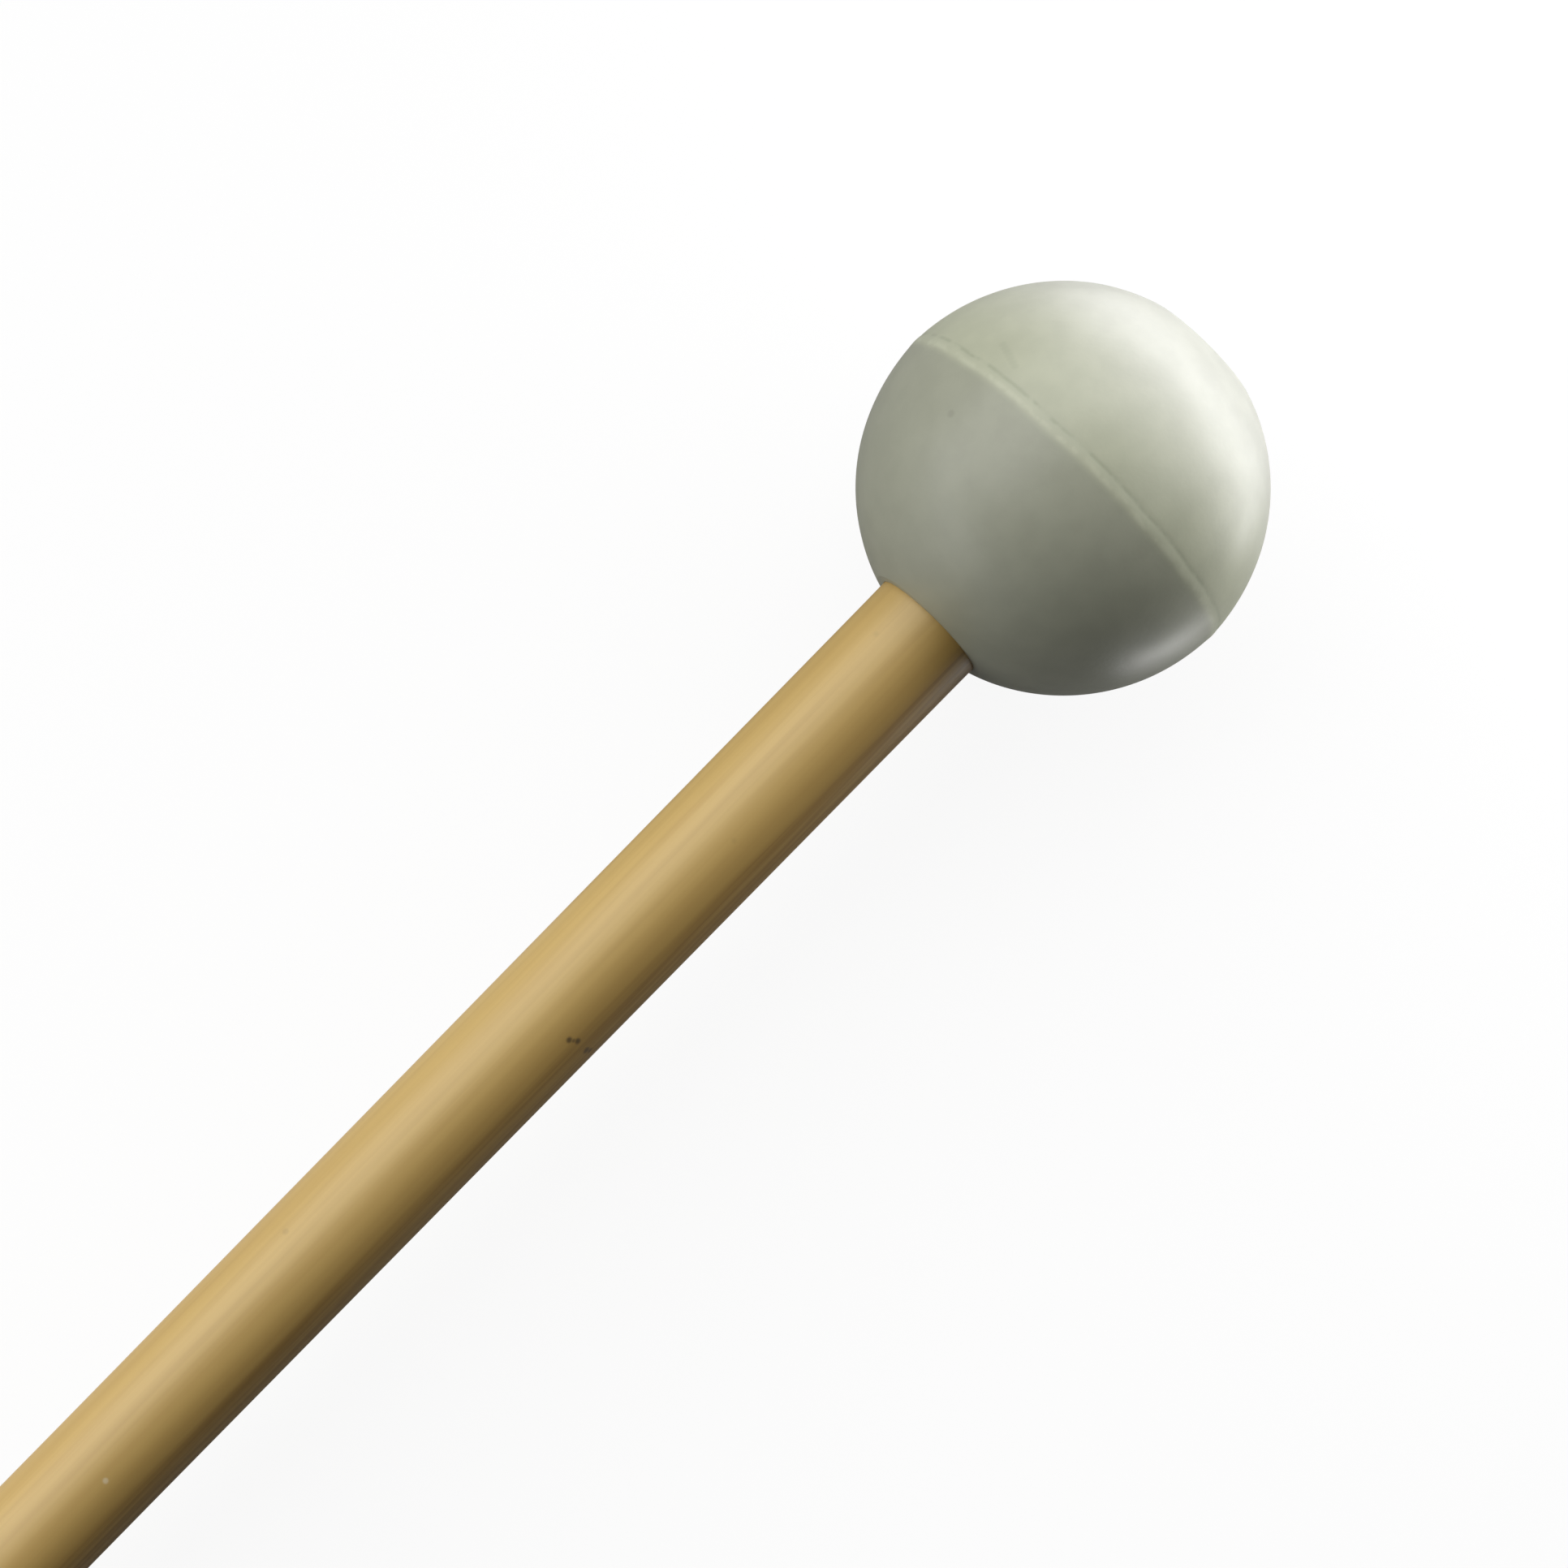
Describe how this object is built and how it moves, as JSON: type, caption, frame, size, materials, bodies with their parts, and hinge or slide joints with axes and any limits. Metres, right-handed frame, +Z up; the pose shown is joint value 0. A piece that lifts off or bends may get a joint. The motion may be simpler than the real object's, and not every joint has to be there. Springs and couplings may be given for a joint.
{
  "type": "xylophone mallet",
  "caption": "Xylophone mallet: a moulded rubber ball head, with a raised mould seam, glued onto the end of a slim round wooden shaft.",
  "frame": {"origin": "middle of the underside of the mallet's box, on the table plane that the mallet lies on", "axes": "+X towards the head along the shaft, which rises 1.67 degrees from the butt end to the ball; +Z up; +Y sideways"},
  "size_m": [0.37, 0.0288, 0.0288],
  "materials": {
    "head_rubber": "smooth moulded hard rubber, satin, grey green, with a fine raised seam",
    "shaft_wood": "golden tan, fine lengthwise grain, thin satin lacquer",
    "adhesive": "cured amber glue"
  },
  "bodies": {
    "root": {"head_ball": "head_rubber", "shaft": "shaft_wood", "adhesive_bond": "adhesive"}
  },
  "joints": []
}
